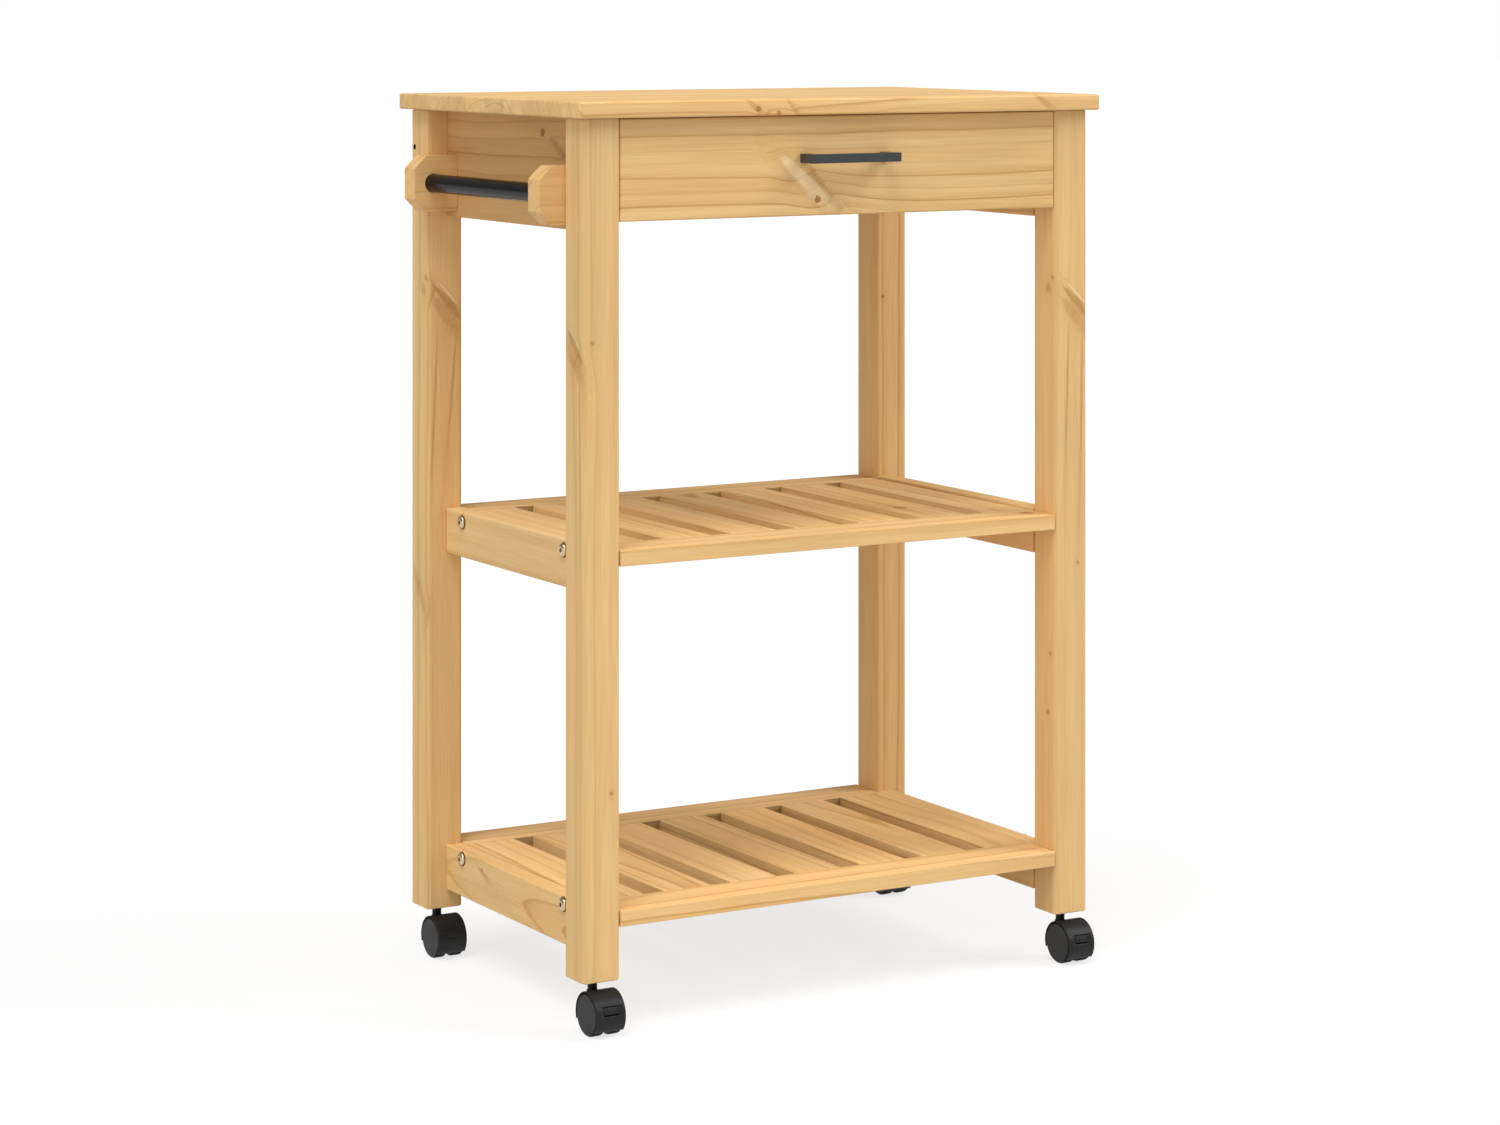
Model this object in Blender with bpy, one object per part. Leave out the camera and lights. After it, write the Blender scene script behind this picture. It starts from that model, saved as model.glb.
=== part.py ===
"""Rolling kitchen trolley in solid pine: a worktop, one drawer, two slatted shelves,
a towel bar on the left side and four twin-wheel swivel casters.

Metres, +Z up. The drawer faces -Y and the towel bar is on the -X side.
The origin is the centre of the overall footprint, on the floor.
"""

import math

import bmesh
import bpy
from mathutils import Vector

MM = 0.001
GAP = 0.3 * MM  # clearance between pieces that touch or run in one another
SMALL_STEPS = 16  # sides of a small round pin or bore

# Overall size
TOP_WIDTH = 602 * MM
TOP_DEPTH = 402 * MM
TOP_THICKNESS = 16 * MM
TOP_OVERHANG = 10 * MM
TOP_CORNER_RADIUS = 5 * MM
TOP_EDGE_ROUNDING = 2 * MM
HEIGHT = 885 * MM
CASTER_HEIGHT = 50 * MM

# Frame timber
LEG = 40 * MM
LEG_ROUNDING = 5 * MM
BOARD = 18 * MM
SHELF_BOARD = 19 * MM
ARRIS = 1 * MM
SLAT_ARRIS = 0.4 * MM
RUNNER_ARRIS = 0.5 * MM
APRON_HEIGHT = 109.5 * MM
BOLT_HOLE_RADIUS = 3.25 * MM
BOLT_HOLE_DEPTH = 14 * MM
BOLT_HOLE_BELOW_TOP = 55 * MM

# Shelves
LOWER_SHELF_TOP = 115 * MM
MIDDLE_SHELF_TOP = 457.4 * MM
MIDDLE_BOARD_RISE = 2.8 * MM  # how far the middle shelf's side boards stand above its slats
SHELF_BOARD_HEIGHT = 46.2 * MM
DECK_THICKNESS = 15 * MM
RAIL_DEPTH = 51 * MM
SLAT_COUNT = 7
SLAT_SPACING = 22 * MM

# Drawer
DRAWER_RECESS = 2 * MM  # behind the legs' front faces
DRAWER_FRONT_GAP = 0.4 * MM
DRAWER_FRONT_BOTTOM = 770 * MM
DRAWER_FRONT_TOP = 868 * MM
DRAWER_LENGTH = 345 * MM
DRAWER_SIDE_GAP = 2 * MM
DRAWER_SIDE = 15 * MM
DRAWER_BACK = 12 * MM
DRAWER_BOX_BOTTOM = 776 * MM
DRAWER_BOX_TOP = 850 * MM
DRAWER_BOTTOM_THICKNESS = 4 * MM
DRAWER_BOTTOM_HEIGHT = 783.3 * MM
DRAWER_BOTTOM_TONGUE = 5 * MM
RUNNER_HEIGHT = 12 * MM
RUNNER_CENTRE = 813 * MM
RUNNER_REACH = 8 * MM
RUNNER_GROOVE_DEPTH = 7 * MM
RUNNER_PLAY = 0.5 * MM
DRAWER_STOP_PLAY = 0.6 * MM

# Drawer handle
HANDLE_WIDTH = 102 * MM
HANDLE_REACH = 25 * MM
HANDLE_SECTION = 9 * MM
HANDLE_POST = 10 * MM
HANDLE_CENTRE_HEIGHT = 826.5 * MM

# Towel bar
BRACKET_REACH = 26 * MM  # beyond the legs' outer faces
BRACKET_WIDTH = 24 * MM
BRACKET_BOTTOM = 766 * MM
BRACKET_TOP = 823 * MM
BRACKET_CHAMFER = 13 * MM
ROD_RADIUS = 9.5 * MM
ROD_OUTSIDE_LEG = 4.6 * MM
ROD_HEIGHT = 795 * MM
ROD_SOCKET = 12 * MM
ROD_END_EASE = 0.8 * MM
ROD_STEPS = 28

# Casters
WHEEL_RADIUS = 20.5 * MM
WHEEL_INNER = 4 * MM  # from the caster's middle plane
WHEEL_OUTER = 15.7 * MM
WHEEL_CAP_RADIUS = 19.4 * MM
WHEEL_CAP_STEP = 1.2 * MM
WHEEL_CAP_EDGE = 0.6 * MM
WHEEL_HUB_RADIUS = 7 * MM
WHEEL_RIM_RADIUS = 17 * MM
WHEEL_DISH = 8 * MM
WHEEL_BORE_END = 13.9 * MM
WHEEL_EDGE = 1 * MM
WHEEL_STEPS = 30
AXLE_RADIUS = 3 * MM
AXLE_END = 13.5 * MM
TRAIL = 17 * MM
HOOD_RADIUS = 22 * MM
HOOD_CAVITY_RADIUS = 21 * MM
HOOD_START = -40
HOOD_END = 200
HOOD_STEP = 8
HOOD_RIM_EASE = 0.6 * MM
WEB_HALF = 3.7 * MM
WEB_ARCH_RADIUS = 7.5 * MM
WEB_ARCH_START = 235
WEB_ARCH_END = 295
WEB_ARCH_STEP = 20
WEB_FOOT_RADIUS = 13 * MM
STEM_RADIUS = 4.7 * MM
STEM_SOCKET_RADIUS = 4 * MM
STEM_IN_LEG = 30 * MM
STEM_SOCKET_PLAY = 2 * MM
STEM_EASE = 0.8 * MM
STEM_PLAY = 0.4 * MM
PIN_RADIUS = 2.5 * MM
PIN_END = 15 * MM
COLLAR_RADIUS = 5.6 * MM
COLLAR_BOTTOM = 31.4 * MM
COLLAR_TOP = 38.8 * MM

# Brake lever of the front casters; angles are counted upwards from the front of the axle
PIVOT_RADIUS = 12 * MM
PIVOT_ANGLE = 0
TRUNNION_RADIUS = 1.2 * MM
TRUNNION_HALF = 3.2 * MM
ARM_HALF = 1.9 * MM
ARM_EYE_RADIUS = 2.4 * MM
ARM_SLOT_HALF = 2.3 * MM
TAB_HALF = 7.25 * MM
TAB_INNER_RADIUS = 21.1 * MM
TAB_OUTER_RADIUS = 22.2 * MM
TAB_START = 9
TAB_END = 27
TAB_STEP = 6
TAB_RECESS = 0.5 * MM  # round the back casters' fixed tab
TAB_OVERLAP = 0.5 * MM  # how deep a joined piece reaches into the tab or the cover
ARM_START = 11
ARM_END = 20
ARM_EYE_HALF = 2 * MM
ARM_ROOT_INSET = 0.3 * MM
WINDOW_HALF = 7.7 * MM
WINDOW_START = 5
WINDOW_END = 29
WINDOW_INNER_RADIUS = 19 * MM
WINDOW_OUTER_RADIUS = 24 * MM
SLOT_FRONT = 20 * MM  # the arm's slot in the web, measured from the axle
SLOT_BACK = 9 * MM
SLOT_BELOW = 4 * MM
SLOT_ABOVE = 9.2 * MM

# The worktop's centre: the bracket and the handle reach past the top's edges
CENTRE_X = (BRACKET_REACH - TOP_OVERHANG) / 2
CENTRE_Y = (HANDLE_REACH - DRAWER_RECESS - TOP_OVERHANG) / 2
LEFT = CENTRE_X - TOP_WIDTH / 2 + TOP_OVERHANG
RIGHT = CENTRE_X + TOP_WIDTH / 2 - TOP_OVERHANG
FRONT = CENTRE_Y - TOP_DEPTH / 2 + TOP_OVERHANG
BACK = CENTRE_Y + TOP_DEPTH / 2 - TOP_OVERHANG
DRAWER_FACE = FRONT + DRAWER_RECESS
LEG_TOP = HEIGHT - TOP_THICKNESS
INNER_LEFT = LEFT + LEG
INNER_RIGHT = RIGHT - LEG
APRON_BOTTOM = LEG_TOP - APRON_HEIGHT

# Finishes: base colour, roughness, metallic
PINE = ((0.74, 0.47, 0.20), 0.45, 0.0)
PINE_SIDE = ((0.66, 0.41, 0.17), 0.50, 0.0)
PINE_INSIDE = ((0.60, 0.38, 0.17), 0.60, 0.0)
PLYWOOD = ((0.62, 0.44, 0.24), 0.65, 0.0)
BLACK_METAL = ((0.02, 0.02, 0.022), 0.35, 0.9)
BLACK_PLASTIC = ((0.035, 0.035, 0.036), 0.48, 0.0)
TREAD_PLASTIC = ((0.045, 0.045, 0.045), 0.55, 0.0)


def finish(obj, look):
    colour, roughness, metallic = look
    material = bpy.data.materials.new(obj.name + "_finish")
    material.use_nodes = True
    shader = material.node_tree.nodes["Principled BSDF"]
    shader.inputs["Base Color"].default_value = (*colour, 1)
    shader.inputs["Roughness"].default_value = roughness
    shader.inputs["Metallic"].default_value = metallic
    obj.data.materials.clear()
    obj.data.materials.append(material)


def object_from(name, bm, look, location=(0, 0, 0)):
    """Ends a bmesh as a linked object whose mesh coordinates are relative to location."""
    bmesh.ops.recalc_face_normals(bm, faces=bm.faces)
    mesh = bpy.data.meshes.new(name)
    bm.to_mesh(mesh)
    bm.free()
    obj = bpy.data.objects.new(name, mesh)
    obj.location = location
    bpy.context.scene.collection.objects.link(obj)
    finish(obj, look)
    return obj


def smooth(obj, angle=35):
    obj.data.shade_smooth()
    obj.data.set_sharp_from_angle(angle=math.radians(angle))
    return obj


def block(name, low, high, look, arris=ARRIS):
    """A board between two corners, with its edges eased."""
    low = Vector(low)
    high = Vector(high)
    bm = bmesh.new()
    bmesh.ops.create_cube(bm, size=1)
    bmesh.ops.scale(bm, vec=high - low, verts=bm.verts)
    if arris:
        bmesh.ops.bevel(bm, geom=bm.edges, offset=arris, segments=1, affect="EDGES")
    return object_from(name, bm, look, (low + high) / 2)


def round_upright_edges(bm, radius, segments):
    upright = []
    for edge in bm.edges:
        run = edge.verts[1].co - edge.verts[0].co
        if abs(run.z) > 0.9 * run.length:
            upright.append(edge)
    bmesh.ops.bevel(
        bm, geom=upright, offset=radius, segments=segments, profile=0.5, affect="EDGES"
    )


def round_end_edges(bm, width, segments):
    """Eases the edges that run round the top and the bottom face."""
    heights = [vertex.co.z for vertex in bm.verts]
    ends = (min(heights), max(heights))
    rim = []
    for edge in bm.edges:
        for level in ends:
            if all(abs(vertex.co.z - level) < 1e-6 for vertex in edge.verts):
                rim.append(edge)
    bmesh.ops.bevel(
        bm, geom=rim, offset=width, segments=segments, profile=0.5, affect="EDGES"
    )


def prism(name, outline, axis, low, high, look, location=(0, 0, 0)):
    """Extrudes an outline along X, Y or Z. Its points are (y, z), (x, z) or (x, y)."""
    place = {
        "X": lambda a, b, along: (along, a, b),
        "Y": lambda a, b, along: (a, along, b),
        "Z": lambda a, b, along: (a, b, along),
    }[axis]
    bm = bmesh.new()
    first = bm.faces.new([bm.verts.new(place(a, b, low)) for a, b in outline])
    grown = bmesh.ops.extrude_face_region(bm, geom=[first])["geom"]
    moved = [item for item in grown if isinstance(item, bmesh.types.BMVert)]
    bmesh.ops.translate(bm, vec=place(0, 0, high - low), verts=moved)
    return object_from(name, bm, look, location)


def lathe(name, profile, axis, steps, look, location=(0, 0, 0)):
    """Turns a profile of (distance along the axis, radius) that starts and ends on the axis."""
    along = Vector((1, 0, 0)) if axis == "X" else Vector((0, 0, 1))
    out = Vector((0, 0, 1)) if axis == "X" else Vector((1, 0, 0))
    bm = bmesh.new()
    points = [bm.verts.new(along * place + out * radius) for place, radius in profile]
    edges = [bm.edges.new(pair) for pair in zip(points, points[1:])]
    bmesh.ops.spin(
        bm,
        geom=points + edges,
        cent=(0, 0, 0),
        axis=along,
        angle=math.tau,
        steps=steps,
    )
    bmesh.ops.remove_doubles(bm, verts=bm.verts, dist=1e-6)
    return smooth(object_from(name, bm, look, location))


def combine(target, tool, operation):
    """Applies a Boolean of tool to target, and removes the tool."""
    modifier = target.modifiers.new(operation.lower(), "BOOLEAN")
    modifier.operation = operation
    modifier.solver = "EXACT"
    modifier.object = tool
    graph = bpy.context.evaluated_depsgraph_get()
    result = bpy.data.meshes.new_from_object(target.evaluated_get(graph))
    target.modifiers.clear()
    old = target.data
    target.data = result
    result.name = target.name
    bpy.data.meshes.remove(old)
    bpy.data.objects.remove(tool)


def polar(radius, degrees):
    """A point beside the axle as (y, z): 0 is the front, 90 the top and 180 the back."""
    angle = math.radians(degrees)
    return (-radius * math.cos(angle), radius * math.sin(angle))


def arc(radius, start, end, step):
    count = round(abs(end - start) / step)
    return [polar(radius, start + (end - start) * i / count) for i in range(count + 1)]


def hang_on(piece, empty):
    """Parents a piece to an empty on its joint's axis and leaves it where it is."""
    piece.parent = empty
    piece.location = piece.location - empty.location


def joint_empty(name, location):
    empty = bpy.data.objects.new(name, None)
    empty.location = location
    empty.empty_display_size = 20 * MM
    bpy.context.scene.collection.objects.link(empty)
    return empty


def make_worktop():
    bm = bmesh.new()
    bmesh.ops.create_cube(bm, size=1)
    bmesh.ops.scale(bm, vec=(TOP_WIDTH, TOP_DEPTH, TOP_THICKNESS), verts=bm.verts)
    round_upright_edges(bm, TOP_CORNER_RADIUS, 4)
    round_end_edges(bm, TOP_EDGE_ROUNDING, 2)
    centre = (CENTRE_X, CENTRE_Y, HEIGHT - TOP_THICKNESS / 2)
    smooth(object_from("worktop", bm, PINE, centre), 50)


def leg_centre(side, end):
    x = LEFT + LEG / 2 if side == "left" else RIGHT - LEG / 2
    y = FRONT + LEG / 2 if end == "front" else BACK - LEG / 2
    return x, y


def make_leg(side, end):
    """A square post with rounded corners, a caster socket below and, at the back, a bolt hole."""
    x, y = leg_centre(side, end)
    top = LEG_TOP - GAP
    bm = bmesh.new()
    bmesh.ops.create_cube(bm, size=1)
    bmesh.ops.scale(bm, vec=(LEG, LEG, top - CASTER_HEIGHT), verts=bm.verts)
    round_upright_edges(bm, LEG_ROUNDING, 4)
    round_end_edges(bm, ARRIS, 1)
    centre = (x, y, (top + CASTER_HEIGHT) / 2)
    leg = object_from(f"leg_{end}_{side}", bm, PINE, centre)
    depth = STEM_IN_LEG + STEM_SOCKET_PLAY
    radius = STEM_SOCKET_RADIUS + GAP
    outline = [(-depth, 0), (-depth, radius), (depth, radius), (depth, 0)]
    socket = lathe("socket_cutter", outline, "Z", SMALL_STEPS, PINE, (x, y, CASTER_HEIGHT))
    combine(leg, socket, "DIFFERENCE")
    if end == "back":
        deep = BOLT_HOLE_DEPTH
        outline = [(-deep, 0), (-deep, BOLT_HOLE_RADIUS), (deep, BOLT_HOLE_RADIUS), (deep, 0)]
        face = LEFT if side == "left" else RIGHT
        place = (face, BACK - BOARD / 2, HEIGHT - BOLT_HOLE_BELOW_TOP)
        combine(leg, lathe("bolt_cutter", outline, "X", SMALL_STEPS, PINE, place), "DIFFERENCE")
    smooth(leg)


def make_aprons():
    """Boards under the worktop, set flush with the legs' inner faces, and the drawer's runners."""
    front = FRONT + LEG + GAP
    back = BACK - LEG - GAP
    top = LEG_TOP - GAP
    for side, x in (("left", INNER_LEFT - BOARD), ("right", INNER_RIGHT)):
        low = (x, front, APRON_BOTTOM)
        block(f"apron_{side}", low, (x + BOARD, back, top), PINE_SIDE)
    low = (INNER_LEFT + GAP, BACK - BOARD, APRON_BOTTOM)
    block("apron_back", low, (INNER_RIGHT - GAP, BACK, top), PINE_SIDE)

    # A runner starts just behind the drawer front, which stops against it
    start = DRAWER_FACE + BOARD + DRAWER_STOP_PLAY
    bottom = RUNNER_CENTRE - RUNNER_HEIGHT / 2
    edges = (
        ("left", INNER_LEFT + GAP, INNER_LEFT + RUNNER_REACH),
        ("right", INNER_RIGHT - RUNNER_REACH, INNER_RIGHT - GAP),
    )
    for side, x_low, x_high in edges:
        low = (x_low, start, bottom)
        high = (x_high, back, bottom + RUNNER_HEIGHT)
        block(f"drawer_runner_{side}", low, high, PINE_INSIDE, RUNNER_ARRIS)


def make_shelf(level, top, board_rise):
    """Two side boards between the legs, a front and a back rail, and the slats between the rails."""
    board_top = top + board_rise
    for side, x in (("left", INNER_LEFT - SHELF_BOARD), ("right", INNER_RIGHT)):
        low = (x, FRONT + LEG + GAP, board_top - SHELF_BOARD_HEIGHT)
        high = (x + SHELF_BOARD, BACK - LEG - GAP, board_top)
        block(f"{level}_shelf_board_{side}", low, high, PINE_SIDE)
    deck = top - DECK_THICKNESS
    first = INNER_LEFT + GAP
    last = INNER_RIGHT - GAP
    for end, y in (("front", FRONT), ("back", BACK - RAIL_DEPTH)):
        name = f"{level}_shelf_rail_{end}"
        block(name, (first, y, deck), (last, y + RAIL_DEPTH, top), PINE, SLAT_ARRIS)
    width = (last - first - (SLAT_COUNT - 1) * SLAT_SPACING) / SLAT_COUNT
    for i in range(SLAT_COUNT):
        x = first + i * (width + SLAT_SPACING)
        low = (x, FRONT + RAIL_DEPTH + GAP, deck)
        high = (x + width, BACK - RAIL_DEPTH - GAP, top)
        block(f"{level}_shelf_slat_{i + 1}", low, high, PINE, SLAT_ARRIS)


def make_drawer():
    """An open box with a bottom held in grooves, side grooves for the runners, and its handle."""
    slide = joint_empty("drawer_slide", (CENTRE_X, CENTRE_Y, RUNNER_CENTRE))
    outer_left = INNER_LEFT + DRAWER_SIDE_GAP
    outer_right = INNER_RIGHT - DRAWER_SIDE_GAP
    inner_left = outer_left + DRAWER_SIDE
    inner_right = outer_right - DRAWER_SIDE
    face_back = DRAWER_FACE + BOARD
    rear = DRAWER_FACE + DRAWER_LENGTH
    groove = DRAWER_BOTTOM_TONGUE + GAP
    groove_low = DRAWER_BOTTOM_HEIGHT - GAP
    groove_high = DRAWER_BOTTOM_HEIGHT + DRAWER_BOTTOM_THICKNESS + GAP

    low = (INNER_LEFT + DRAWER_FRONT_GAP, DRAWER_FACE, DRAWER_FRONT_BOTTOM)
    high = (INNER_RIGHT - DRAWER_FRONT_GAP, face_back, DRAWER_FRONT_TOP)
    front = block("drawer_front", low, high, PINE)
    low = (inner_left - groove, face_back - groove, groove_low)
    high = (inner_right + groove, face_back + groove, groove_high)
    combine(front, block("groove_cutter", low, high, PINE, 0), "DIFFERENCE")
    pieces = [front]

    run_low = RUNNER_CENTRE - RUNNER_HEIGHT / 2 - RUNNER_PLAY
    run_high = RUNNER_CENTRE + RUNNER_HEIGHT / 2 + RUNNER_PLAY
    for side, outer, inward in (("left", outer_left, 1), ("right", outer_right, -1)):
        inner = outer + inward * DRAWER_SIDE
        outline = [
            (outer, DRAWER_BOX_BOTTOM),
            (inner, DRAWER_BOX_BOTTOM),
            (inner, groove_low),
            (inner - inward * groove, groove_low),
            (inner - inward * groove, groove_high),
            (inner, groove_high),
            (inner, DRAWER_BOX_TOP),
            (outer, DRAWER_BOX_TOP),
            (outer, run_high),
            (outer + inward * RUNNER_GROOVE_DEPTH, run_high),
            (outer + inward * RUNNER_GROOVE_DEPTH, run_low),
            (outer, run_low),
        ]
        name = f"drawer_side_{side}"
        pieces.append(prism(name, outline, "Y", face_back + GAP, rear, PINE_INSIDE))

    start = rear - DRAWER_BACK
    outline = [
        (start, DRAWER_BOX_BOTTOM),
        (rear, DRAWER_BOX_BOTTOM),
        (rear, DRAWER_BOX_TOP),
        (start, DRAWER_BOX_TOP),
        (start, groove_high),
        (start + groove, groove_high),
        (start + groove, groove_low),
        (start, groove_low),
    ]
    ends = (inner_left + GAP, inner_right - GAP)
    pieces.append(prism("drawer_back", outline, "X", *ends, PINE_INSIDE))

    tongue = DRAWER_BOTTOM_TONGUE
    low = (inner_left - tongue, face_back - tongue, DRAWER_BOTTOM_HEIGHT)
    high_z = DRAWER_BOTTOM_HEIGHT + DRAWER_BOTTOM_THICKNESS
    high = (inner_right + tongue, start + tongue, high_z)
    pieces.append(block("drawer_bottom", low, high, PLYWOOD, 0))
    pieces.append(make_handle())
    for piece in pieces:
        hang_on(piece, slide)


def make_handle():
    """A square black bar on two posts, screwed to the drawer front."""
    half = HANDLE_WIDTH / 2
    inner = half - HANDLE_POST
    outer_y = DRAWER_FACE - HANDLE_REACH
    bar_y = outer_y + HANDLE_SECTION
    foot_y = DRAWER_FACE - GAP
    outline = [
        (CENTRE_X - half, outer_y),
        (CENTRE_X + half, outer_y),
        (CENTRE_X + half, foot_y),
        (CENTRE_X + inner, foot_y),
        (CENTRE_X + inner, bar_y),
        (CENTRE_X - inner, bar_y),
        (CENTRE_X - inner, foot_y),
        (CENTRE_X - half, foot_y),
    ]
    low = HANDLE_CENTRE_HEIGHT - HANDLE_SECTION / 2
    high = HANDLE_CENTRE_HEIGHT + HANDLE_SECTION / 2
    return prism("drawer_handle", outline, "Z", low, high, BLACK_METAL)


def make_towel_bar():
    """Two chamfered blocks on the left apron carry a round bar in blind holes."""
    inner = INNER_LEFT - BOARD - GAP
    outer = LEFT - BRACKET_REACH
    cut = BRACKET_CHAMFER
    outline = [
        (inner, BRACKET_BOTTOM),
        (outer + cut, BRACKET_BOTTOM),
        (outer, BRACKET_BOTTOM + cut),
        (outer, BRACKET_TOP - cut),
        (outer + cut, BRACKET_TOP),
        (inner, BRACKET_TOP),
    ]
    rod_x = LEFT - ROD_OUTSIDE_LEG
    front = FRONT + LEG + 2 * GAP
    back = BACK - LEG - 2 * GAP
    mouths = {"front": front + BRACKET_WIDTH, "back": back - BRACKET_WIDTH}
    starts = {"front": front, "back": back - BRACKET_WIDTH}
    for end, start in starts.items():
        name = f"towel_bracket_{end}"
        bracket = prism(name, outline, "Y", start, start + BRACKET_WIDTH, PINE_SIDE)
        drill = round_bar("drill", ROD_RADIUS + GAP, 2 * ROD_SOCKET, ROD_STEPS)
        drill.location = (rod_x, mouths[end], ROD_HEIGHT)
        combine(bracket, drill, "DIFFERENCE")
        smooth(bracket)
    length = mouths["back"] - mouths["front"] + 2 * (ROD_SOCKET - GAP)
    rod = round_bar("towel_rod", ROD_RADIUS, length, ROD_STEPS)
    rod.location = (rod_x, CENTRE_Y, ROD_HEIGHT)


def round_bar(name, radius, length, steps):
    """A round bar along Y, centred on its origin, with eased ends."""
    outline = [
        (-length / 2, 0),
        (-length / 2, radius - ROD_END_EASE),
        (-length / 2 + ROD_END_EASE, radius),
        (length / 2 - ROD_END_EASE, radius),
        (length / 2, radius - ROD_END_EASE),
        (length / 2, 0),
    ]
    bar = lathe(name, outline, "Z", steps, BLACK_METAL)
    for vertex in bar.data.vertices:
        x, y, z = vertex.co
        vertex.co = (x, z, -y)
    return bar


def from_swivel(outline):
    """Moves an outline about the axle to coordinates from the swivel axis."""
    return [(y - TRAIL, z) for y, z in outline]


def hood_body(name, location):
    """The arched cover and its middle web, whose underside is cut away round the axle."""
    outline = arc(HOOD_RADIUS, HOOD_START, HOOD_END, HOOD_STEP)
    outline += [polar(WEB_FOOT_RADIUS, HOOD_END)]
    outline += arc(WEB_ARCH_RADIUS, WEB_ARCH_START, WEB_ARCH_END, WEB_ARCH_STEP)
    outline += [polar(WEB_FOOT_RADIUS, 360 + HOOD_START)]
    outline = from_swivel(outline)
    hood = prism(name, outline, "X", -WHEEL_OUTER, WHEEL_OUTER, BLACK_PLASTIC, location)
    bm = bmesh.new()
    bm.from_mesh(hood.data)
    rim = []
    for edge in bm.edges:
        on_side = all(abs(abs(v.co.x) - WHEEL_OUTER) < 1e-6 for v in edge.verts)
        reach = [math.hypot(v.co.y + TRAIL, v.co.z) for v in edge.verts]
        if on_side and min(reach) > HOOD_RADIUS - 1e-6:
            rim.append(edge)
    bmesh.ops.bevel(bm, geom=rim, offset=HOOD_RIM_EASE, segments=1, affect="EDGES")
    bm.to_mesh(hood.data)
    bm.free()
    return hood


def make_hood(name, location, has_lever):
    """Cover, web, stem collar and stub axles in one moulding; its origin is on the swivel axis."""
    look = BLACK_PLASTIC
    hood = hood_body(name, location)
    low = COLLAR_BOTTOM - WHEEL_RADIUS
    high = COLLAR_TOP - WHEEL_RADIUS
    ring = [(low, 0), (low, COLLAR_RADIUS), (high, COLLAR_RADIUS), (high, 0)]
    combine(hood, lathe("collar", ring, "Z", SMALL_STEPS, look, location), "UNION")
    axle = Vector(location) - Vector((0, TRAIL, 0))
    for start, end in ((WEB_HALF, 2 * WHEEL_OUTER), (-2 * WHEEL_OUTER, -WEB_HALF)):
        cavity = [
            (start, 0),
            (start, HOOD_CAVITY_RADIUS),
            (end, HOOD_CAVITY_RADIUS),
            (end, 0),
        ]
        combine(hood, lathe("cavity", cavity, "X", round(360 / HOOD_STEP), look, axle), "DIFFERENCE")
    stub = [(-AXLE_END, 0), (-AXLE_END, AXLE_RADIUS), (AXLE_END, AXLE_RADIUS), (AXLE_END, 0)]
    combine(hood, lathe("stub", stub, "X", SMALL_STEPS, look, axle), "UNION")
    radius = PIN_RADIUS + GAP
    bore = [(-WHEEL_RADIUS, 0), (-WHEEL_RADIUS, radius), (high * 2, radius), (high * 2, 0)]
    combine(hood, lathe("bore", bore, "Z", SMALL_STEPS, look, location), "DIFFERENCE")
    if has_lever:
        cut_lever_space(hood, location)
    else:
        add_fixed_tab(hood, location)
    return smooth(hood, 30)


def add_fixed_tab(hood, location):
    """A shallow recess in the cover with a tab in it, where the front casters have their lever."""
    look = BLACK_PLASTIC
    recess = arc(HOOD_RADIUS - TAB_RECESS, WINDOW_START, WINDOW_END, TAB_STEP)
    recess += arc(WINDOW_OUTER_RADIUS, WINDOW_END, WINDOW_START, TAB_STEP)
    ends = (-WINDOW_HALF, WINDOW_HALF)
    combine(hood, prism("recess", from_swivel(recess), "X", *ends, look, location), "DIFFERENCE")
    outline = arc(TAB_OUTER_RADIUS, TAB_START, TAB_END, TAB_STEP)
    outline += arc(HOOD_RADIUS - TAB_RECESS - TAB_OVERLAP / 2, TAB_END, TAB_START, TAB_STEP)
    tab = prism("tab", from_swivel(outline), "X", -TAB_HALF, TAB_HALF, look, location)
    combine(hood, tab, "UNION")


def cut_lever_space(hood, location):
    """A window in the cover, a slot in the web and a hole for the lever's trunnions."""
    look = BLACK_PLASTIC
    window = [
        polar(WINDOW_INNER_RADIUS, WINDOW_START),
        polar(WINDOW_OUTER_RADIUS, WINDOW_START),
        polar(WINDOW_OUTER_RADIUS, WINDOW_END),
        polar(WINDOW_INNER_RADIUS, WINDOW_END),
    ]
    ends = (-WINDOW_HALF, WINDOW_HALF)
    combine(hood, prism("window", from_swivel(window), "X", *ends, look, location), "DIFFERENCE")
    slot = [
        (-SLOT_FRONT, -SLOT_BELOW),
        (-SLOT_BACK, -SLOT_BELOW),
        (-SLOT_BACK, SLOT_ABOVE),
        (-SLOT_FRONT, SLOT_ABOVE),
    ]
    ends = (-ARM_SLOT_HALF, ARM_SLOT_HALF)
    combine(hood, prism("slot", from_swivel(slot), "X", *ends, look, location), "DIFFERENCE")
    y, z = polar(PIVOT_RADIUS, PIVOT_ANGLE)
    place = Vector(location) + Vector((0, y - TRAIL, z))
    radius = TRUNNION_RADIUS + GAP
    reach = 2 * WEB_HALF
    hole = [(-reach, 0), (-reach, radius), (reach, radius), (reach, 0)]
    combine(hood, lathe("hole", hole, "X", SMALL_STEPS, look, place), "DIFFERENCE")


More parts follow.
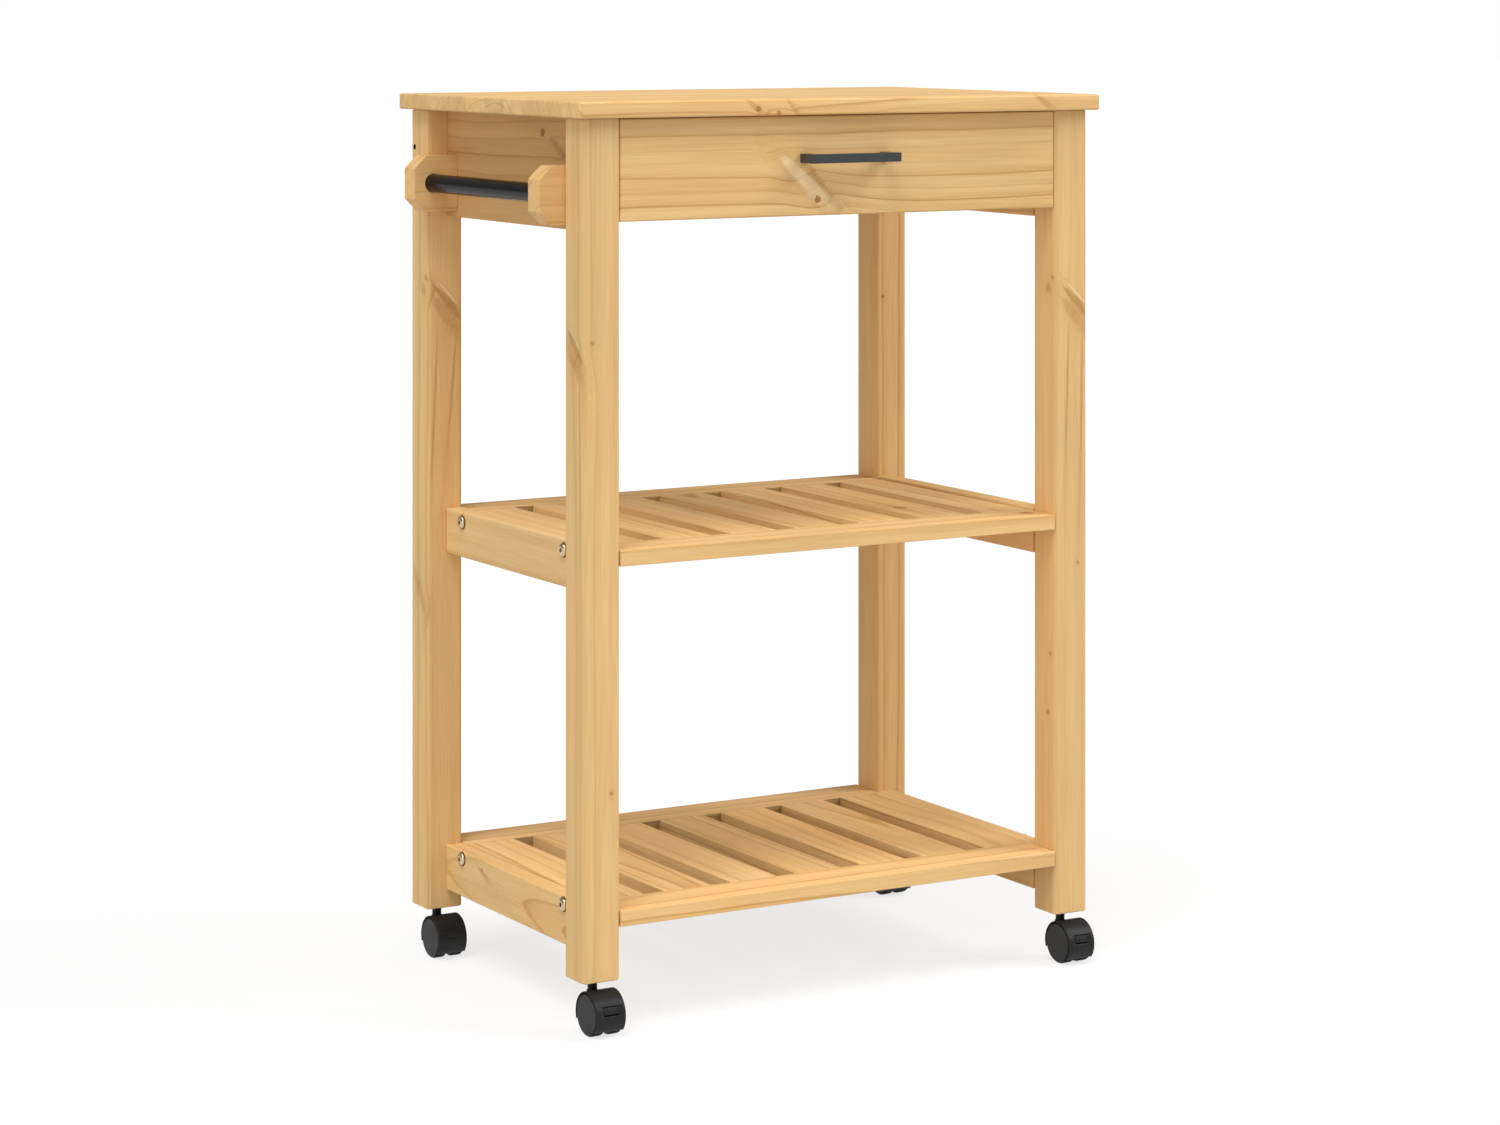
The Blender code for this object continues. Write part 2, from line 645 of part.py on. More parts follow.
def make_lever(name, location):
    """Tab, arm and trunnions in one piece; its origin is on the pivot."""
    look = BLACK_PLASTIC
    pivot_y, pivot_z = polar(PIVOT_RADIUS, PIVOT_ANGLE)
    pivot = Vector(location) + Vector((0, pivot_y - TRAIL, pivot_z))

    def about_pivot(points):
        return [(y - pivot_y, z - pivot_z) for y, z in points]

    outline = arc(TAB_OUTER_RADIUS, TAB_START, TAB_END, TAB_STEP)
    outline += arc(TAB_INNER_RADIUS, TAB_END, TAB_START, TAB_STEP)
    lever = prism(name, about_pivot(outline), "X", -TAB_HALF, TAB_HALF, look, pivot)
    reach = TAB_INNER_RADIUS + TAB_OVERLAP
    arm = about_pivot([polar(reach, angle) for angle in (ARM_START, ARM_END)])
    root = ARM_EYE_RADIUS - ARM_ROOT_INSET
    arm += [(0, root), (0, -root)]
    combine(lever, prism("arm", arm, "X", -ARM_HALF, ARM_HALF, look, pivot), "UNION")
    for half, radius in ((ARM_EYE_HALF, ARM_EYE_RADIUS), (TRUNNION_HALF, TRUNNION_RADIUS)):
        eye = [(-half, 0), (-half, radius), (half, radius), (half, 0)]
        combine(lever, lathe("eye", eye, "X", SMALL_STEPS, look, pivot), "UNION")
    return smooth(lever, 30)


def make_wheel(name, axle, outward):
    """A dished wheel with a blind bore and a raised cap on the side that outward faces."""
    edge = WHEEL_EDGE
    bore = AXLE_RADIUS + GAP
    tread_end = WHEEL_OUTER - WHEEL_CAP_STEP
    outline = [
        (WHEEL_BORE_END, 0),
        (WHEEL_BORE_END, bore),
        (WHEEL_INNER, bore),
        (WHEEL_INNER, WHEEL_HUB_RADIUS),
        (WHEEL_DISH, WHEEL_HUB_RADIUS + edge),
        (WHEEL_DISH, WHEEL_RIM_RADIUS - edge),
        (WHEEL_INNER, WHEEL_RIM_RADIUS),
        (WHEEL_INNER, WHEEL_RADIUS - edge),
        (WHEEL_INNER + edge, WHEEL_RADIUS),
        (tread_end - edge, WHEEL_RADIUS),
        (tread_end, WHEEL_RADIUS - WHEEL_CAP_EDGE),
        (tread_end, WHEEL_CAP_RADIUS),
        (WHEEL_OUTER - WHEEL_CAP_EDGE, WHEEL_CAP_RADIUS),
        (WHEEL_OUTER, WHEEL_CAP_RADIUS - WHEEL_CAP_EDGE),
        (WHEEL_OUTER, 0),
    ]
    outline = [(outward * along, radius) for along, radius in outline]
    return lathe(name, outline, "X", WHEEL_STEPS, TREAD_PLASTIC, axle)


def make_stem(name, x, y):
    """The plug in the leg, the visible shank and the thin swivel pin below it."""
    top = CASTER_HEIGHT + STEM_IN_LEG
    outline = [
        (top, 0),
        (top, STEM_SOCKET_RADIUS - STEM_EASE),
        (top - STEM_EASE, STEM_SOCKET_RADIUS),
        (CASTER_HEIGHT - GAP, STEM_SOCKET_RADIUS),
        (CASTER_HEIGHT - GAP, STEM_RADIUS),
        (COLLAR_TOP + STEM_PLAY, STEM_RADIUS),
        (COLLAR_TOP + STEM_PLAY, PIN_RADIUS),
        (PIN_END, PIN_RADIUS),
        (PIN_END, 0),
    ]
    lathe(name, outline, "Z", SMALL_STEPS, BLACK_METAL, (x, y, 0))


def make_caster(side, end):
    name = f"{end}_{side}"
    x, y = leg_centre(side, end)
    make_stem(f"caster_stem_{name}", x, y)
    swivel = joint_empty(f"caster_swivel_{name}", (x, y, CASTER_HEIGHT))
    centre = (x, y, WHEEL_RADIUS)
    braked = end == "front"
    pieces = [make_hood(f"caster_hood_{name}", centre, braked)]
    axle = (x, y - TRAIL, WHEEL_RADIUS)
    for wheel_side, outward in (("left", -1), ("right", 1)):
        pieces.append(make_wheel(f"caster_wheel_{name}_{wheel_side}", axle, outward))
    if braked:
        pieces.append(make_lever(f"brake_lever_{name}", centre))
    for piece in pieces:
        hang_on(piece, swivel)


for leftover in list(bpy.data.objects):
    bpy.data.objects.remove(leftover)

make_worktop()
make_aprons()
make_shelf("lower", LOWER_SHELF_TOP, 0)
make_shelf("middle", MIDDLE_SHELF_TOP, MIDDLE_BOARD_RISE)
make_drawer()
make_towel_bar()
for leg_end in ("front", "back"):
    for leg_side in ("left", "right"):
        make_leg(leg_side, leg_end)
        make_caster(leg_side, leg_end)
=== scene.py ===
"""The looks of the rolling kitchen trolley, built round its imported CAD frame.

Metres, +Z up. The drawer faces -Y and the towel bar is on the -X side.
"""

import math
import random
from collections import namedtuple

import bmesh
import bpy
from mathutils import Matrix, Vector


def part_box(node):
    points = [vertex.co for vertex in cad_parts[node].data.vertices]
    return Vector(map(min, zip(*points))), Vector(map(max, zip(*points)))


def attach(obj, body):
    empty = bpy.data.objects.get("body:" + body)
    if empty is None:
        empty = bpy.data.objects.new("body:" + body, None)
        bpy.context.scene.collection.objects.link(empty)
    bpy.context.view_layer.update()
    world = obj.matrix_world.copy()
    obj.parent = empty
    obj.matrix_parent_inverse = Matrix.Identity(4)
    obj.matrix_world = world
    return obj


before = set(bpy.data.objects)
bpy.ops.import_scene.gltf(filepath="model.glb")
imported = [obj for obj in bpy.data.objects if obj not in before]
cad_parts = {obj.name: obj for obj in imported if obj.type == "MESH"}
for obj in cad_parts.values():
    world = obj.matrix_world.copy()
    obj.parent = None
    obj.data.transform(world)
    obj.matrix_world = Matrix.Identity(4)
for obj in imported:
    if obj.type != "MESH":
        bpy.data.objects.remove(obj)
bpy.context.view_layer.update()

MM = 0.001

# Camera: level, above the worktop and in front of the left corner, shifted down to the object
CAMERA_FROM_TOP = (-1.9532, -3.3460)  # from the worktop's middle, along X and Y
CAMERA_HEIGHT = 0.9794
CAMERA_TURN = 30.311
FOCAL_LENGTH = 90.485
CAMERA_SHIFT = -0.37379
HOME_RANGE = 0.5  # how far from its home the camera has lost its shift

# Light: the room's even glow, and soft lamps as (degrees right of the front, degrees up, strength)
ROOM_LIGHT = 0.34
LAMPS = ((-60, 62, 1.77), (60, 38, 1.86), (-60, 12, 0.54), (-30, 38, 0.19))
LAMP_SOFTNESS = 35
FLOOR_RADIUS = 60.0
FLOOR_COLOUR = (0.97, 0.97, 0.97)
FLOOR_BOUNCE = 0.55  # the part of its light that the floor throws back on the wood
FLOOR_GLOW = 0.75  # the part of the floor's brightness that no shadow takes away

# Pine: linear colours
EARLY_WOOD = (0.84, 0.570, 0.262)
DEEP_WOOD = (0.76, 0.475, 0.195)
LATE_WOOD = (0.55, 0.285, 0.080)
KNOT_WOOD = (0.43, 0.185, 0.045)
WARM_WOOD = (0.70, 0.40, 0.145)
KNOT_RIM = (0.16, 0.06, 0.02)
PALE_KNOT = (0.93, 0.70, 0.40)
PAINTED_WARM_SHADE = (1.02, 0.90, 0.80)  # painted warm shade: the warmer colour of the shaded left apron, for the light that the wood round it bounces onto it
SLOT_SIDE = 0.90  # how much of their light the sides and the ends of the shelves' slots keep
SLOT_END = 0.50
HALO_STRETCH = 2.6  # how far round a knot the grain bends: along it, across it, and how strongly
HALO_WIDTH = 1.7
HALO_PULL = 0.82
LIMB_POINT = 0.42  # the part of a long spot at which the branch crosses the face
LIMB_DEPTH = 1.5  # of a branch cut lengthways, as a part of its spot's length
PIN_DEPTH = 40 * MM  # of a branch cut squarely
PITH_SWAY = 34 * MM  # how far the pith wanders
RING_RIPPLE = 5 * MM  # how uneven the rings are
RING_END = 0.90  # the part of a ring's width at which its dark late wood ends

# Metal and plastic: linear colours
ROD_BLACK = (0.004, 0.004, 0.004)
HANDLE_BLACK = (0.045, 0.047, 0.048)
HOOD_BLACK = (0.011, 0.011, 0.011)
WHEEL_BLACK = (0.015, 0.015, 0.015)
PLATED_STEEL = (0.62, 0.48, 0.32)
# painted shadow: the dark ring round each shelf bolt stands in for the shade in its counterbore
SHADOW_RING_BROWN = (0.10, 0.055, 0.03)
# the leg bolts' dark steel, made near-black as painted shade for the holes they sit in
BOLT_AND_HOLE_SHADE_BLACK = (0.003, 0.003, 0.003)
TREAD_PAINTED_SHADE = 0.85  # how much darker and duller a wheel's rolling face is than its disc; the darkness is painted shade for the gap between the disc and the hood
TREAD_DULLNESS = 0.80
TREAD_EDGE = 0.4 * MM

# Domed bolts through the shelf side boards
BOLT_RADIUS = 6.6 * MM
BOLT_HEIGHT = 3.8 * MM
BOLT_SOCKET = 2.0 * MM  # half its width across the flats
BOLT_FROM_FRONT = 40.5 * MM
BOLT_FROM_BACK = 37.5 * MM
BOLT_SHADOW_RING = 0.9 * MM  # how far the ring of painted shadow, for the shade in the counterbore, shows round a head
DISC_RADIUS = 19 * MM  # of a wheel's outer disc
HANDLE_SCREW_RADIUS = 4 * MM
HANDLE_SCREW_HEIGHT = 2.2 * MM
HANDLE_SCREW_FROM_END = 5 * MM
LEG_BOLT_RADIUS = 3 * MM
LEG_BOLT_BELOW_TOP = 55 * MM
LEG_BOLT_FROM_BACK = 9 * MM
LEG_BOLT_SUNK = 0.1 * MM
LEG_BOLT_LENGTH = 10 * MM

# For a grain along X, Y or Z: the frame axes that are the piece's two cross axes and its length
GRAIN_ORDER = {"X": (1, 2, 0), "Y": (2, 0, 1), "Z": (0, 1, 2)}

Branch = namedtuple("Branch", "point aim radius depth dark")
FRONTWARD = (0, -1, 0)
LEFTWARD = (-1, 0, 0)
UPWARD = (0, 0, 1)


# ---------------------------------------------------------------- node graphs


class Graph:
    """Short names for adding and joining the nodes of one shader tree."""

    def __init__(self, tree):
        self.tree = tree

    def node(self, kind, **settings):
        node = self.tree.nodes.new("ShaderNode" + kind)
        for name, value in settings.items():
            setattr(node, name, value)
        return node

    def feed(self, socket, value):
        if isinstance(value, bpy.types.NodeSocket):
            self.tree.links.new(value, socket)
        elif isinstance(value, (tuple, list, Vector)) and socket.type == "RGBA":
            socket.default_value = (*value, 1) if len(value) == 3 else value
        else:
            socket.default_value = value

    def math(self, operation, *values, clamp=False):
        node = self.node("Math", operation=operation, use_clamp=clamp)
        for socket, value in zip(node.inputs, values):
            self.feed(socket, value)
        return node.outputs[0]

    def vector(self, operation, *values):
        node = self.node("VectorMath", operation=operation)
        for socket, value in zip(node.inputs, values):
            self.feed(socket, value)
        scalar = operation in ("DOT_PRODUCT", "LENGTH", "DISTANCE")
        return node.outputs["Value" if scalar else "Vector"]

    def scale(self, vector, factor):
        node = self.node("VectorMath", operation="SCALE")
        self.feed(node.inputs[0], vector)
        self.feed(node.inputs["Scale"], factor)
        return node.outputs["Vector"]

    def separate(self, vector):
        node = self.node("SeparateXYZ")
        self.feed(node.inputs[0], vector)
        return tuple(node.outputs)

    def combine(self, x, y, z):
        node = self.node("CombineXYZ")
        for socket, value in zip(node.inputs, (x, y, z)):
            self.feed(socket, value)
        return node.outputs[0]

    def step(self, value, low, high, start=0.0, end=1.0):
        """Goes smoothly from start to end as value goes from low to high."""
        node = self.node("MapRange", interpolation_type="SMOOTHSTEP")
        for socket, item in zip(node.inputs, (value, low, high, start, end)):
            self.feed(socket, item)
        return node.outputs[0]

    def noise(self, place, stretch, detail=2.0, roughness=0.5):
        """Noise of about 0..1; stretch holds how many features a metre has along each axis."""
        node = self.node("TexNoise")
        self.feed(node.inputs["Vector"], self.vector("MULTIPLY", place, stretch))
        node.inputs["Scale"].default_value = 1.0
        node.inputs["Detail"].default_value = detail
        node.inputs["Roughness"].default_value = roughness
        return node.outputs[0]

    def chance(self, value, colour=False):
        node = self.node("TexWhiteNoise", noise_dimensions="1D")
        self.feed(node.inputs["W"], value)
        return node.outputs["Color" if colour else "Value"]

    def mix(self, factor, a, b, blend="MIX"):
        node = self.node("Mix", data_type="RGBA", blend_type=blend)
        self.feed(node.inputs[0], factor)
        self.feed(node.inputs[6], a)
        self.feed(node.inputs[7], b)
        return node.outputs[2]

    def bump(self, height, strength, distance):
        node = self.node("Bump")
        node.inputs["Strength"].default_value = strength
        node.inputs["Distance"].default_value = distance
        self.feed(node.inputs["Height"], height)
        return node.outputs[0]


def new_material(name):
    material = bpy.data.materials.new(name)
    material.use_nodes = True
    return material, Graph(material.node_tree), material.node_tree.nodes["Principled BSDF"]


# ---------------------------------------------------------------- wood


def to_wood(vector, grain):
    return Vector([vector[axis] for axis in GRAIN_ORDER[grain]])


class Face:
    """One side of a piece. A place on it is in millimetres from its lowest corner, along its two edges."""

    def __init__(self, name, outward):
        low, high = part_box(name)
        self.outward = Vector(outward)
        self.edges = [axis for axis in range(3) if not outward[axis]]
        self.corner = Vector([high[axis] if outward[axis] > 0 else low[axis] for axis in range(3)])

    def place(self, spot):
        place = self.corner.copy()
        for axis, distance in zip(self.edges, spot):
            place[axis] += distance * MM
        return place

    def pin(self, spot, radius, dark=1.0):
        """A knot that the face cuts squarely."""
        return Branch(self.place(spot), self.outward, radius * MM, PIN_DEPTH, dark)

    def limb(self, start, end, radius, dark=1.0):
        """A branch that the face cuts lengthways, so that it shows as a long spot from start to end."""
        start = self.place(start)
        run = self.place(end) - start
        aim = run.normalized() + self.outward * 2 * radius * MM / run.length
        return Branch(start + LIMB_POINT * run, aim, radius * MM, LIMB_DEPTH * run.length, dark)

    def swept_knot(self, start, end):
        """A dark limb with a broad warm one below it and a thin pale one above it."""
        warm = [(a, b - drop) for (a, b), drop in ((start, 12), (end, 15))]
        pale = [(a + shift, b + rise) for (a, b), shift, rise in ((start, 2, 7), (end, 1, 8))]
        return self.limb(start, end, 3.4, 0.65), self.limb(*warm, 8.0, 0.4), self.limb(*pale, 1.4, 0.0)


def grow_knots(graph, wood, grain, centre, branches):
    """Parts the grain round each branch. Returns the bent place and the knots' masks."""
    core = rim = halo = pale = 0.0
    straight = wood
    for branch in branches:
        aim = to_wood(branch.aim, grain).normalized()  # from the pith outwards, as a cone
        start = to_wood(branch.point - centre, grain) - aim * branch.depth
        away = graph.vector("SUBTRACT", straight, start)
        travel = graph.math("MAXIMUM", graph.vector("DOT_PRODUCT", away, aim), 0.0)
        off = graph.vector("SUBTRACT", away, graph.scale(aim, travel))
        size = graph.math("MULTIPLY", graph.math("DIVIDE", travel, branch.depth), branch.radius)
        size = graph.math("MAXIMUM", size, 0.15 * branch.radius)
        uneven = graph.noise(off, (0.9 / branch.radius,) * 3, detail=3.0, roughness=0.6)
        reach = graph.math("DIVIDE", graph.vector("LENGTH", off), size)
        reach = graph.math("MULTIPLY", reach, graph.step(uneven, 0.25, 0.75, 0.75, 1.25))
        flat = graph.vector("MULTIPLY", off, (1.0, 1.0, 1.0 / HALO_STRETCH))
        near = graph.math("DIVIDE", graph.vector("LENGTH", flat), graph.math("MULTIPLY", size, HALO_WIDTH))
        pull = graph.math("EXPONENT", graph.math("MULTIPLY", graph.math("MULTIPLY", near, near), -1.0))
        across = graph.vector("MULTIPLY", off, (1.0, 1.0, 0.0))
        shift = graph.scale(across, graph.math("MULTIPLY", pull, -HALO_PULL))
        wood = graph.vector("ADD", wood, shift)
        inside = graph.step(reach, 0.50 + 0.35 * branch.dark, 1.15, 1.0, 0.0)
        edge = graph.math("MULTIPLY", graph.step(reach, 0.70, 0.98), graph.step(reach, 1.0, 1.35, 1.0, 0.0))
        core = graph.math("MAXIMUM", core, graph.math("MULTIPLY", inside, branch.dark))
        pale = graph.math("MAXIMUM", pale, graph.math("MULTIPLY", inside, 0.0 if branch.dark else 1.0))
        rim = graph.math("MAXIMUM", rim, graph.math("MULTIPLY", edge, 0.1 + 0.9 * branch.dark**4))
        halo = graph.math("MAXIMUM", halo, pull)
    return wood, core, pale, rim, halo


def pine(name, grain, pith, branches=(), tone=1.0, ring=9, figure=0.6, lean=(0.0, 0.0), stave=None, painted_slot_shade=(),
         tint=(1.0, 1.0, 1.0)):
    """Solid pine: growth rings about a wandering pith, so that every face of a piece agrees.

    pith is the pith's place in millimetres from the piece's middle, along its two cross axes,
    and lean is how far it leans along each of them for a metre of length. ring is the rings'
    width in millimetres and figure is how strongly they show. The faces in the shelves' slots
    are given by their directions, each with the part of its light that it keeps as painted shade.
    tint is a factor for each colour; on the left apron and the towel brackets it paints warm shade.
    """
    rng = random.Random(name)
    seed = [rng.uniform(-9, 9) for _ in range(3)]
    low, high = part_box(name)
    centre = (low + high) / 2
    material, graph, shader = new_material(f"pine_{name}")
    coordinates = graph.node("TexCoord")
    parts = graph.separate(graph.vector("SUBTRACT", coordinates.outputs["Object"], centre))
    wood = graph.combine(*[parts[axis] for axis in GRAIN_ORDER[grain]])
    wood, core, pale, rim, halo = grow_knots(graph, wood, grain, centre, branches)

    shade = 0.5
    if stave:
        across = graph.separate(wood)[0]
        number = graph.math("FLOOR", graph.math("DIVIDE", across, stave))
        number = graph.math("ADD", number, seed[0])
        lot = graph.vector("SUBTRACT", graph.chance(number, colour=True), (0.5, 0.5, 0.5))
        wood = graph.vector("ADD", wood, graph.vector("MULTIPLY", lot, (0.10, 0.05, 1.0)))
        shade = graph.chance(graph.math("ADD", number, 31.7))

    place = graph.vector("ADD", wood, seed)
    sway = graph.noise(place, (6.0, 6.0, 1.6), detail=1.0)
    ripple = graph.noise(place, (40.0, 40.0, 5.0), detail=2.0)
    sway_by = graph.math("MULTIPLY", graph.math("SUBTRACT", sway, 0.5), PITH_SWAY)
    ripple_by = graph.math("MULTIPLY", graph.math("SUBTRACT", ripple, 0.5), RING_RIPPLE)
    a, b, c = graph.separate(wood)
    a = graph.math("SUBTRACT", a, graph.math("MULTIPLY_ADD", c, lean[0], pith[0] * MM))
    b = graph.math("SUBTRACT", b, graph.math("MULTIPLY_ADD", c, lean[1], pith[1] * MM))
    a = graph.math("ADD", a, sway_by)
    radius = graph.math("ADD", graph.vector("LENGTH", graph.combine(a, b, 0.0)), ripple_by)
    rings = graph.math("DIVIDE", radius, ring * MM)
    turn = graph.math("FRACT", rings)
    strength = graph.step(graph.chance(graph.math("FLOOR", rings)), 0.1, 1.0, 0.12, 1.0)
    broad = graph.math("MULTIPLY", graph.step(turn, 0.25, 0.88), graph.step(turn, RING_END, 1.0, 1.0, 0.0))
    line = graph.math("MULTIPLY", graph.step(turn, 0.72, 0.88), graph.step(turn, RING_END, 0.97, 1.0, 0.0))
    late = graph.math("MULTIPLY_ADD", broad, 0.45, graph.math("MULTIPLY", line, 0.55))
    late = graph.math("MULTIPLY", late, strength)
    fine = min(0.3, 1.5 / ring)
    ebb = graph.step(turn, RING_END, RING_END + fine / 3, 1.0, 0.0)
    seam = graph.math("MULTIPLY", graph.step(turn, RING_END - fine, RING_END), ebb)
    seam = graph.math("MULTIPLY", seam, graph.math("MULTIPLY", strength, strength))

    fibre = graph.noise(place, (900.0, 900.0, 14.0), detail=3.0, roughness=0.65)
    streak = graph.noise(place, (90.0, 90.0, 2.2), detail=3.0, roughness=0.55)
    cloud = graph.noise(place, (12.0, 12.0, 3.5), detail=2.0)

    depth = graph.step(streak, 0.30, 0.72, 0.5 - 0.8 * figure, 0.5 + 0.8 * figure)
    base = graph.mix(depth, EARLY_WOOD, DEEP_WOOD)
    base = graph.mix(graph.math("MULTIPLY", graph.step(cloud, 0.45, 0.75), 0.38), base, WARM_WOOD)
    base = graph.mix(graph.math("MULTIPLY", late, figure), base, LATE_WOOD)
    base = graph.mix(graph.math("MULTIPLY", seam, 0.65), base, LATE_WOOD)
    base = graph.mix(graph.math("MULTIPLY", halo, 0.22), base, LATE_WOOD)
    swirl = graph.noise(place, (160.0, 160.0, 160.0), detail=3.0)
    base = graph.mix(graph.math("MULTIPLY", pale, 0.65), base, PALE_KNOT)
    base = graph.mix(graph.math("MULTIPLY", core, graph.step(swirl, 0.2, 0.8, 0.65, 1.0)), base, KNOT_WOOD)
    base = graph.mix(graph.math("MULTIPLY", rim, 0.55), base, KNOT_RIM)
    light = graph.step(fibre, 0.2, 0.8, 0.91, 1.06)
    light = graph.math("MULTIPLY", light, graph.step(cloud, 0.2, 0.8, 0.92, 1.07))
    light = graph.math("MULTIPLY", light, graph.step(shade, 0.0, 1.0, 0.91, 1.06) if stave else 1.0)
    light = graph.math("MULTIPLY", light, tone)
    # painted shade: faces of the shelves' slots, picked by their directions, keep only part of their light
    for direction, part in painted_slot_shade:
        facing = graph.vector("DOT_PRODUCT", graph.node("NewGeometry").outputs["Normal"], direction)
        light = graph.math("MULTIPLY", light, graph.step(facing, 0.3, 0.8, 1.0, part))
    base = graph.vector("MULTIPLY", graph.scale(base, light), tint)

    graph.feed(shader.inputs["Base Color"], base)
    graph.feed(shader.inputs["Roughness"], graph.step(late, 0.0, 1.0, 0.56, 0.46))
    shader.inputs["Specular IOR Level"].default_value = 0.10
    relief = graph.math("MULTIPLY_ADD", late, 0.5, fibre)
    graph.feed(shader.inputs["Normal"], graph.bump(relief, 0.25, 0.12 * MM))
    dress(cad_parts[name], material)


def plywood(name, grain):
    """Thin birch plywood: a broad, faint figure with fine flecks."""
    material, graph, shader = new_material(f"plywood_{name}")
    coordinates = graph.node("TexCoord")
    parts = graph.separate(coordinates.outputs["Object"])
    wood = graph.combine(*[parts[axis] for axis in GRAIN_ORDER[grain]])
    figure = graph.noise(wood, (26.0, 26.0, 2.2), detail=3.0)
    bands = graph.math("FRACT", graph.math("MULTIPLY", figure, 9.0))
    line = graph.math("MULTIPLY", graph.step(bands, 0.2, 0.8), graph.step(bands, 0.85, 1.0, 1.0, 0.0))
    fleck = graph.noise(wood, (1100.0, 1100.0, 70.0), detail=2.0)
    base = graph.mix(graph.math("MULTIPLY", line, 0.35), (0.76, 0.57, 0.35), (0.62, 0.42, 0.22))
    base = graph.scale(base, graph.step(fleck, 0.2, 0.8, 0.94, 1.04))
    graph.feed(shader.inputs["Base Color"], base)
    shader.inputs["Roughness"].default_value = 0.62
    graph.feed(shader.inputs["Normal"], graph.bump(fleck, 0.2, 0.1 * MM))
    dress(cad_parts[name], material)


# ---------------------------------------------------------------- metal and plastic


def painted(name, colour, roughness, grain_size, relief, gloss, metallic=0.0, uneven=0.05, hub=None):
    """A coated or moulded surface: fine peel in the relief and patches in the sheen.

    hub is the middle of a wheel along X, whose rolling face gets painted shade for the gap between its disc
    and the hood.
    """
    material, graph, shader = new_material(name)
    place = graph.node("TexCoord").outputs["Object"]
    peel = graph.noise(place, (1 / grain_size,) * 3, detail=2.0)
    patch = graph.noise(place, (60.0,) * 3, detail=3.0)
    light = graph.step(patch, 0.2, 0.8, 1.0 - 2 * uneven, 1.0 + 2 * uneven)
    if hub:
        # painted shade on the rolling face, for the dark gap between the disc and the hood
        spoke = graph.vector("MULTIPLY", graph.vector("SUBTRACT", place, hub), (0, 1, 1))
        tread = graph.step(graph.vector("LENGTH", spoke), DISC_RADIUS, DISC_RADIUS + TREAD_EDGE)
        light = graph.math("MULTIPLY", light, graph.math("MULTIPLY_ADD", tread, -TREAD_PAINTED_SHADE, 1.0))
        gloss = graph.math("MULTIPLY_ADD", tread, -TREAD_DULLNESS * gloss, gloss)
    graph.feed(shader.inputs["Base Color"], graph.scale(colour, light))
    dull = graph.step(patch, 0.2, 0.8, roughness - uneven, roughness + uneven)
    graph.feed(shader.inputs["Roughness"], dull)
    graph.feed(shader.inputs["Specular IOR Level"], gloss)
    shader.inputs["Metallic"].default_value = metallic
    graph.feed(shader.inputs["Normal"], graph.bump(peel, relief, 0.05 * MM))
    return material


# ---------------------------------------------------------------- geometry


def dress(piece, material):
    piece.data.materials.clear()
    piece.data.materials.append(material)


def soften(piece, width, segments=2, angle=28):
    """Joins a node's loose triangles into faces and rounds its edges."""
    weld = piece.modifiers.new("weld", "WELD")
    weld.merge_threshold = 0.01 * MM
    flat = piece.modifiers.new("flat", "DECIMATE")
    flat.decimate_type = "DISSOLVE"
    flat.angle_limit = math.radians(0.5)
    if width:
        bevel = piece.modifiers.new("bevel", "BEVEL")
        bevel.width = width
        bevel.segments = segments
        bevel.limit_method = "ANGLE"
        bevel.angle_limit = math.radians(angle)
        bevel.use_clamp_overlap = True
    normals = piece.modifiers.new("normals", "WEIGHTED_NORMAL")
    normals.weight = 100


def new_piece(name, bm, material, body):
    bmesh.ops.recalc_face_normals(bm, faces=bm.faces)
    mesh = bpy.data.meshes.new(name)
    bm.to_mesh(mesh)
    bm.free()
    mesh.shade_smooth()
    mesh.set_sharp_from_angle(angle=math.radians(32))
    piece = bpy.data.objects.new(name, mesh)
    bpy.context.scene.collection.objects.link(piece)
    dress(piece, material)
    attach(piece, body)
    return piece


def turned(rings, steps=36):
    """A closed form round +Z. A ring is (height, radius) or (height, half width across flats, 6)."""
    bm = bmesh.new()
    loops = []
    for height, size, *sides in rings:
        loop = []
        for i in range(steps):
            angle = math.tau * i / steps
            radius = size
            if sides:
                part = math.tau / sides[0]
                radius = size / math.cos((angle + part / 2) % part - part / 2)
            loop.append(bm.verts.new((radius * math.cos(angle), radius * math.sin(angle), height)))
        loops.append(loop)
    for lower, upper in zip(loops, loops[1:]):
        for i in range(steps):
            j = (i + 1) % steps
            bm.faces.new((lower[i], lower[j], upper[j], upper[i]))
    bm.faces.new(loops[0])
    bm.faces.new(loops[-1])
    return bm


def aim_along(bm, place, direction):
    """Turns a form built round +Z to a direction and moves it to its place."""
    turn = Vector(direction).to_track_quat("Z", "Y").to_matrix().to_4x4()
    bmesh.ops.transform(bm, matrix=Matrix.Translation(place) @ turn, verts=bm.verts)


def button_head(radius, height, socket):
    """Rings of a domed bolt head with a hexagon socket; its underside is at height 0."""
    rings = [(-0.5 * MM, radius * 0.6), (0.0, radius * 0.97), (0.25 * height, radius)]
    for i in range(1, 6):
        angle = math.radians(90 * i / 6)
        reach = socket * 1.25 + (radius - socket * 1.25) * math.cos(angle)
        rings.append((0.25 * height + 0.75 * height * math.sin(angle), reach))
    rings.append((height, socket * 1.25))
    rings.append((height * 0.95, socket, 6))
    rings.append((height * 0.25, socket * 0.96, 6))
    rings.append((height * 0.15, socket * 0.3, 6))
    return rings


